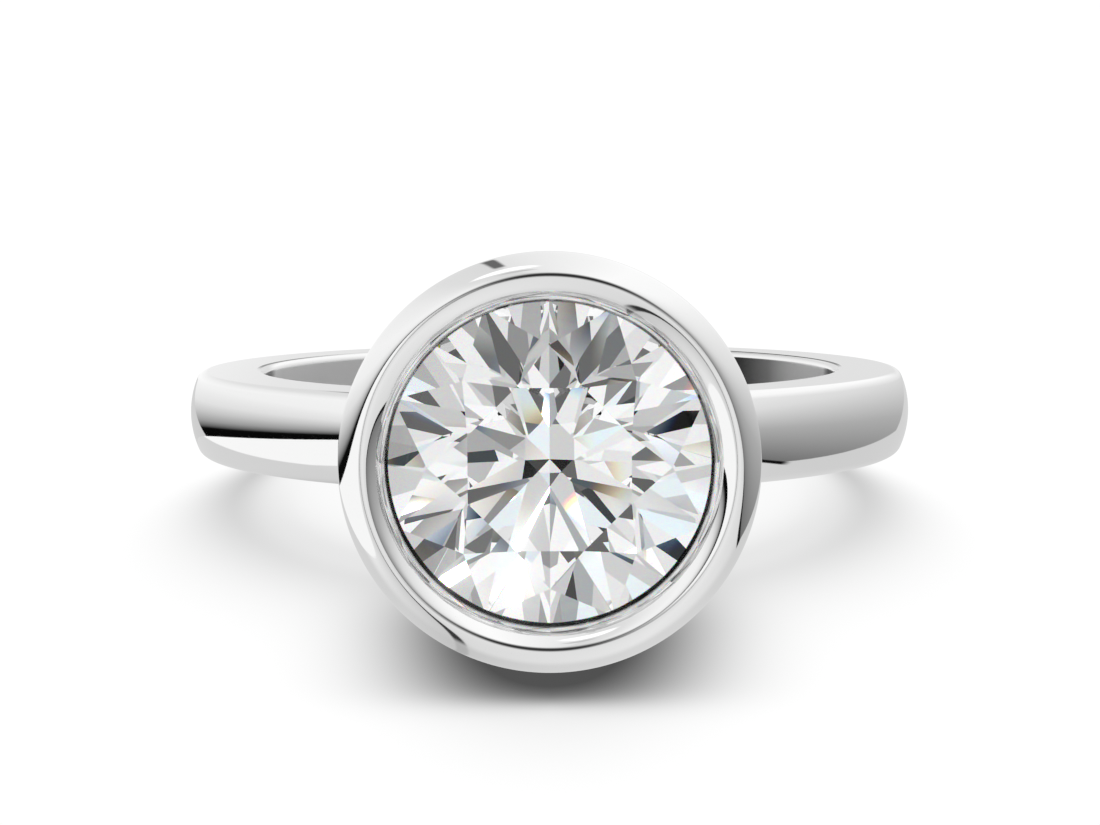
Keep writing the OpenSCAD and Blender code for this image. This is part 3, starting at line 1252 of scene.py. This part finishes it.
@dataclass(frozen=True)
class RingMount:
    """The shank and the tapered cup, soldered into one piece of polished metal."""

    finger_r: float = 8.25 * MM
    shank_t: float = 2.1 * MM
    shank_w: float = 2.35 * MM
    dome_h: float = 0.29 * MM
    outer_edge_r: float = 0.32 * MM
    inner_edge_r: float = 0.22 * MM
    rim_r: float = 0.545 * MM
    lip_r: float = 3.66 * MM
    rim_rise: float = 3.45 * MM
    foot_drop: float = 0.35 * MM
    cup_lean_deg: float = 14.0
    hole_r: float = 0.7 * MM
    stone_r: float = 3.78 * MM
    pavilion_deg: float = 41.2
    girdle_t: float = 0.18 * MM
    girdle_drop: float = 0.16 * MM
    stone_gap: float = 0.03 * MM
    crown_slope: float = 0.81946
    solder_fillet: float = 0.34 * MM
    hole_round: float = 0.16 * MM
    dome_steps: int = 26
    outer_edge_steps: int = 10
    inner_edge_steps: int = 9
    side_steps: int = 9
    wall_steps: int = 12
    rim_steps: int = 48
    foot_steps: int = 20
    cup_side_steps: int = 30
    shank_steps: int = 480
    cup_steps: int = 288
    drill_sides: int = 96
    drill_steps: int = 48
    settling_rounds: int = 4
    least_slope: float = 0.05
    on_cut: float = 2e-7

    @property
    def crown_r(self) -> float:
        """Radius of the shank's crown."""
        return self.finger_r + self.shank_t

    @property
    def rim_mid_r(self) -> float:
        """Radius of the rim's middle line."""
        return self.lip_r + self.rim_r

    @property
    def rim_dist(self) -> float:
        """Height of the rim's middle over the middle of the finger hole."""
        return self.crown_r + self.rim_rise

    def shank_outline(self) -> Outline:
        """Draws the shank's section, in radius and width.

        Returns:
            The outline.
        """
        half, edge, edge_steps = self.shank_w / 2, self.outer_edge_r, self.outer_edge_steps
        inner, inner_steps = self.inner_edge_r, self.inner_edge_steps
        dome_r = (half**2 + self.dome_h**2) / (2 * self.dome_h)
        middle = self.crown_r - dome_r
        corner_w = half - edge
        corner_x = middle + math.sqrt((dome_r - edge) ** 2 - corner_w**2)
        side = math.asin(corner_w / (dome_r - edge))
        inner_x, inner_w = self.finger_r + inner, half - inner
        quarter = math.pi / 2
        outline = Outline()
        outline.arc((middle, 0.0), dome_r, -side, side, self.dome_steps)
        outline.arc((corner_x, corner_w), edge, side, quarter, edge_steps)
        outline.line((corner_x, half), (inner_x, half), self.side_steps)
        outline.arc((inner_x, inner_w), inner, quarter, 2 * quarter, inner_steps)
        outline.line((self.finger_r, inner_w), (self.finger_r, -inner_w), self.wall_steps)
        outline.arc((inner_x, -inner_w), inner, 2 * quarter, 3 * quarter, inner_steps)
        outline.line((inner_x, -half), (corner_x, -half), self.side_steps)
        outline.arc((corner_x, -corner_w), edge, -quarter, -side, edge_steps)
        return outline

    def cup_outline(self) -> Outline:
        """Draws the cup's section, in radius and height over the middle of the finger hole.

        Returns:
            The outline.
        """
        lean = math.radians(self.cup_lean_deg)
        foot_z = self.rim_dist - self.rim_rise - self.foot_drop
        foot_x = self.rim_mid_r - (self.rim_dist - foot_z) * math.tan(lean)
        rim, foot = np.array((self.rim_mid_r, self.rim_dist)), np.array((foot_x, foot_z))
        side = self.rim_r * np.array((math.cos(lean), -math.sin(lean)))
        outline = Outline()
        outline.arc(rim, self.rim_r, -lean, math.pi - lean, self.rim_steps)
        outline.line(rim - side, foot - side, self.cup_side_steps)
        outline.arc(foot, self.rim_r, math.pi - lean, 2 * math.pi - lean, self.foot_steps)
        outline.line(foot + side, rim + side, self.cup_side_steps)
        return outline

    def room_outline(self) -> Outline:
        """Draws the room for the stone: the seat, the wall beside the girdle and the lip's underside.

        Returns:
            The outline.
        """
        wide = self.stone_r + self.stone_gap
        lip_in = self.lip_r - self.rim_r
        top = self.rim_dist - self.girdle_drop + self.stone_gap
        seat = self.rim_dist - self.girdle_drop - self.girdle_t - self.stone_gap
        corners = [
            (0.0, seat - wide * math.tan(math.radians(self.pavilion_deg))),
            (wide, seat),
            (wide, top - self.stone_gap * self.crown_slope),
            (lip_in, top + (self.stone_r - lip_in) * self.crown_slope),
            (0.0, top + (self.stone_r - lip_in) * self.crown_slope),
        ]
        outline = Outline()
        for corner, following in zip(corners, corners[1:] + corners[:1]):
            outline.line(corner, following, 1)
        return outline

    def shape(self, made: ShapeNodes) -> Socket:
        """Turns the sections, joins them and cuts the stone's room and the hole.

        Args:
            made: The tree that this goes into.

        Returns:
            The mount.
        """
        given = made.given
        shank = made.step("Transform", {
            "Geometry": made.turned(given["Geometry"], "Shank Radius", "Shank Steps"),
            "Rotation": (math.radians(90.0), 0.0, 0.0),
        })
        cup, room = (made.turned(made.wire(name), "Cup Radius", "Cup Steps")
                     for name in ("Cup Section", "Room Section"))
        drill = made.step("MeshCylinder", {
            "Vertices": self.drill_sides, "Side Segments": self.drill_steps,
            "Radius": given["Hole Radius"], "Depth": given["Hole Depth"],
        }, fill_type="NGON")
        hole = made.step("Transform", {"Geometry": drill, "Translation": given["Hole Middle"]})
        return made.solid(Joint.CUT, made.solid(Joint.JOINED, shank, cup), room, hole)

    def build(self, placement: Placement, finish: bpy.types.Material) -> bpy.types.Object:
        """Makes the mount, rounds its seams and lays it on the floor.

        Args:
            placement: How the ring lies.
            finish: The metal's material.

        Returns:
            The finished piece.
        """
        shank, cup, room = self.shank_outline(), self.cup_outline(), self.room_outline()
        shank_path = self.finger_r + self.shank_t / 2
        wires = {
            "Cup Section": cup.drawn("cup_section", self.rim_mid_r),
            "Room Section": room.drawn("room_section", self.rim_mid_r),
        }
        made = ShapeNodes("ring_mount_turning", {
            **dict.fromkeys(wires, "Object"),
            **dict.fromkeys(("Shank Radius", "Cup Radius", "Hole Radius", "Hole Depth"), "Float"),
            **dict.fromkeys(("Shank Steps", "Cup Steps"), "Int"), "Hole Middle": "Vector",
        })
        piece = made.run("ring_mount_polished", self.shape(made), shank.drawn("shank_section", shank_path), {
            **wires, "Shank Radius": shank_path, "Cup Radius": self.rim_mid_r,
            "Shank Steps": self.shank_steps, "Cup Steps": self.cup_steps,
            "Hole Radius": self.hole_r, "Hole Depth": 2 * self.shank_t,
            "Hole Middle": (0.0, 0.0, self.finger_r), "Finish": finish,
        })
        for wire in wires.values():
            bpy.data.objects.remove(wire)
        self.smooth(piece.data, shank, cup, room)
        return placement.lay(piece)

    def smooth(self, mesh: bpy.types.Mesh, shank: Outline, cup: Outline, room: Outline) -> None:
        """Moves the mesh onto the true surfaces, with a fillet of solder and a rounded hole, and shades it.

        Args:
            mesh: The mount's mesh, in the ring's frame.
            shank: The shank's section.
            cup: The cup's section.
            room: The section of the stone's room.
        """
        places = np.empty(len(mesh.vertices) * 3, np.float32)
        mesh.vertices.foreach_get("co", places)
        places = places.reshape(-1, 3).astype(float)
        cut, _ = room.turned_distance(places, up=2)
        on_metal = np.abs(cut) > self.on_cut
        for _ in range(self.settling_rounds):
            gap, slope = self.field(places, shank, cup)
            step = gap[:, None] * slope / np.maximum((slope**2).sum(1), self.least_slope)[:, None]
            places[on_metal] -= step[on_metal]
        mesh.vertices.foreach_set("co", places.astype(np.float32).ravel())
        _, slope = self.field(places, shank, cup)
        slope /= np.linalg.norm(slope, axis=1)[:, None]
        corners = np.empty(len(mesh.loops), np.int64)
        mesh.loops.foreach_get("vertex_index", corners)
        sizes = np.empty(len(mesh.polygons), np.int64)
        mesh.polygons.foreach_get("loop_total", sizes)
        owner = np.repeat(np.arange(len(sizes)), sizes)
        in_room = np.ones(len(sizes), bool)
        np.logical_and.at(in_room, owner, ~on_metal[corners])
        flat = np.empty(len(mesh.polygons) * 3, np.float32)
        mesh.polygons.foreach_get("normal", flat)
        normals = np.where(in_room[owner][:, None], flat.reshape(-1, 3)[owner], slope[corners])
        mesh.polygons.foreach_set("use_smooth", np.ones(len(sizes), bool))
        mesh.normals_split_custom_set(normals.astype(np.float32))
        mesh.update()

    def field(self, places: np.ndarray, shank: Outline, cup: Outline) -> Arrays:
        """Measures the metal's surface with its fillet and its rounded hole.

        Args:
            places: Points in the ring's frame.
            shank: The shank's section.
            cup: The cup's section.

        Returns:
            Distances from the surface, and their slopes.
        """
        a, na = shank.turned_distance(places, up=1)
        b, nb = cup.turned_distance(places, up=2)
        metal, slope = smooth_join(a, b, na, nb, self.solder_fillet)
        reach = np.maximum(np.linalg.norm(places[:, :2], axis=1), NOT_ZERO)
        inward = np.zeros_like(places)
        inward[:, :2] = -places[:, :2] / reach[:, None]
        near = (places[:, 2] > 0.0) & (reach < self.hole_r + self.shank_w)
        wall = np.where(near, self.hole_r - reach, -FAR_OFF)
        gap, back = smooth_join(-metal, -wall, -slope, -inward, self.hole_round)
        return -gap, -back


@dataclass(frozen=True)
class CentreStone:
    """Round brilliant: a flat table, 32 more facets over the girdle and 24 under it."""

    radius: float = 3.78 * MM
    table_ratio: float = 0.514
    crown_deg: float = 34.5
    pavilion_deg: float = 41.2
    girdle_t: float = 0.18 * MM
    star_ratio: float = 0.46
    lower_ratio: float = 0.81
    girdle_height: float = 13.64 * MM
    folds: int = 8
    girdle_steps: int = 24

    def point(self, radius: float, at: float, z: float) -> Vector:
        """Finds the point at a radius, at a number of folds round and at a height."""
        turn = at * 2 * math.pi / self.folds
        return Vector((radius * math.cos(turn), radius * math.sin(turn), z))

    def scallops(self, tip: Vector, level: float) -> list[Vector]:
        """Finds the points of the round girdle in the planes of a fold's two girdle facets.

        Args:
            tip: The far tip that both facets share.
            level: Height of the scallops' corners.

        Returns:
            The points, in order.
        """
        points = []
        for k in range(self.girdle_steps + 1):
            first = 0.0 if 2 * k <= self.girdle_steps else 0.5
            a, b = (self.point(self.radius, at, level) for at in (first, first + 0.5))
            n = (a - tip).cross(b - tip)
            p = self.point(self.radius, k / self.girdle_steps, 0.0)
            p.z = tip.z - (n.x * (p.x - tip.x) + n.y * (p.y - tip.y)) / n.z
            points.append(p)
        return points

    def facets(self) -> list[tuple[Zone, list[Vector]]]:
        """Cuts the facets of one fold; the others are copies of it, turned about the stone's axis.

        Returns:
            The zone and the corners of each facet.
        """
        half_turn = math.cos(math.pi / self.folds)
        tan_crown, tan_pavilion = (math.tan(math.radians(a)) for a in (self.crown_deg, self.pavilion_deg))
        table_r = self.radius * self.table_ratio
        table_flat = table_r * half_turn
        crown_h = (self.radius - table_r) * tan_crown
        star_r = table_flat + (self.radius - table_flat) * self.star_ratio
        star_z = crown_h - (star_r * half_turn - table_r) * tan_crown
        lower_r = self.radius * (1 - self.lower_ratio)
        lower_z = -self.girdle_t - (self.radius - lower_r * half_turn) * tan_pavilion
        culet_z = -self.girdle_t - self.radius * tan_pavilion
        table, next_table = (self.point(table_r, at, crown_h) for at in (0, 1))
        star, before = (self.point(star_r, at, star_z) for at in (0.5, -0.5))
        low, low_before = (self.point(lower_r, at, lower_z) for at in (0.5, -0.5))
        over, under = self.scallops(star, 0.0), self.scallops(low, -self.girdle_t)
        facets = [
            (Zone.CROWN, [Vector((0.0, 0.0, crown_h)), table, next_table]),
            (Zone.CROWN, [table, star, next_table]),
            (Zone.CROWN, [table, before, over[0], star]),
            (Zone.PAVILION, [Vector((0.0, 0.0, culet_z)), low, under[0], low_before]),
        ]
        half = self.girdle_steps // 2
        for start in (0, half):
            facets.append((Zone.CROWN, [star, *over[start:start + half + 1]]))
            facets.append((Zone.PAVILION, [low, *reversed(under[start:start + half + 1])]))
        for k in range(self.girdle_steps):
            facets.append((Zone.GIRDLE, [under[k], under[k + 1], over[k + 1], over[k]]))
        return facets

    def fold(self) -> bpy.types.Object:
        """Draws one fold, with a mark on the facets of the girdle and on those under it.

        Returns:
            The fold.
        """
        shell = bmesh.new()
        layers = {zone: shell.faces.layers.float.new(zone.value) for zone in (Zone.GIRDLE, Zone.PAVILION)}
        for zone, corners in self.facets():
            made = shell.faces.new([shell.verts.new(corner) for corner in corners])
            for marked, layer in layers.items():
                made[layer] = float(zone is marked)
        mesh = bpy.data.meshes.new("stone_fold")
        shell.to_mesh(mesh)
        shell.free()
        return placed("stone_fold", mesh)

    def shape(self, made: ShapeNodes) -> Socket:
        """Repeats the fold round the stone's axis and lifts the stone to its height.

        Args:
            made: The tree that this goes into.

        Returns:
            The stone.
        """
        given, sheet = made.given, made.sheet
        step = sheet.maths("DIVIDE", 2 * math.pi, given["Folds"])
        angle = sheet.maths("MULTIPLY_ADD", made.step("InputIndex"), step, given["First Turn"])
        copies = made.step("InstanceOnPoints", {
            "Points": made.step("Points", {"Count": given["Folds"]}), "Instance": given["Geometry"],
            "Rotation": sheet.add("ShaderNodeCombineXYZ", {"Z": angle}).outputs[0],
        })
        real = made.step("RealizeInstances", {"Geometry": copies})
        whole = made.step("MergeByDistance", {"Geometry": real, "Distance": WELD})
        return made.step("Transform", {"Geometry": whole, "Translation": given["Height"]})

    def build(self, placement: Placement, finish: bpy.types.Material) -> bpy.types.Object:
        """Cuts the stone and sets it in the cup.

        Args:
            placement: How the ring lies.
            finish: The stone's material.

        Returns:
            The finished piece.
        """
        inputs = {"Folds": "Int", "First Turn": "Float", "Height": "Vector"}
        made = ShapeNodes("centre_stone_cutting", inputs)
        piece = made.run("centre_stone_cut", self.shape(made), self.fold(), {
            "Folds": self.folds, "First Turn": math.pi / self.folds,
            "Height": (0.0, 0.0, self.girdle_height), "Finish": finish,
        })
        piece.data.polygons.foreach_set("use_smooth", np.zeros(len(piece.data.polygons), bool))
        return placement.lay(piece)


@dataclass
class DressedRing:
    """The whole ring: each piece rides on the ring's one body and stands for its solid."""

    placement: Placement = field(default_factory=Placement)
    mount: RingMount = field(default_factory=RingMount)
    stone: CentreStone = field(default_factory=CentreStone)
    metal: MirrorPolish = field(default_factory=MirrorPolish)
    crystal: CutCrystal = field(default_factory=CutCrystal)

    def build(self) -> list[bpy.types.Object]:
        """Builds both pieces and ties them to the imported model.

        Returns:
            The pieces.
        """
        made = []
        for piece, node, slot in (
            (self.mount.build(self.placement, self.metal.material()), "ring_mount", "white_gold"),
            (self.stone.build(self.placement, self.crystal.material()), "centre_stone", "clear_stone"),
        ):
            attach(piece, BODY)
            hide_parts(node)
            made.append(piece)
        return made


def report(piece: bpy.types.Object) -> None:
    """Logs a piece's size, its triangles and whether its shell is closed and faces outwards.

    Args:
        piece: A finished piece.
    """
    shell = bmesh.new()
    shell.from_mesh(piece.data)
    triangles = sum(len(f.verts) - 2 for f in shell.faces)
    open_edges = sum(not e.is_manifold for e in shell.edges)
    volume = shell.calc_volume(signed=True) / MM**3
    shell.free()
    log.info("%s: %d triangles, %d open edges, %.2f mm3", piece.name, triangles, open_edges, volume)


def main() -> None:
    """Builds the ring, its light, its floor and its camera, in that order."""
    logging.basicConfig(level=logging.INFO, format="%(name)s: %(message)s")
    scene = bpy.context.scene
    scene.view_settings.view_transform = "Standard"
    scene.cycles.max_bounces = scene.cycles.transmission_bounces = RAY_BOUNCES
    scene.cycles.glossy_bounces = MIRROR_BOUNCES
    for piece in DressedRing().build():
        report(piece)
    for part in (LightTent(), PaleFloor(), StudioCamera(), LampGlow()):
        part.build()
    log.info("light, floor and camera are in place")


if __name__ == "__main__":
    main()
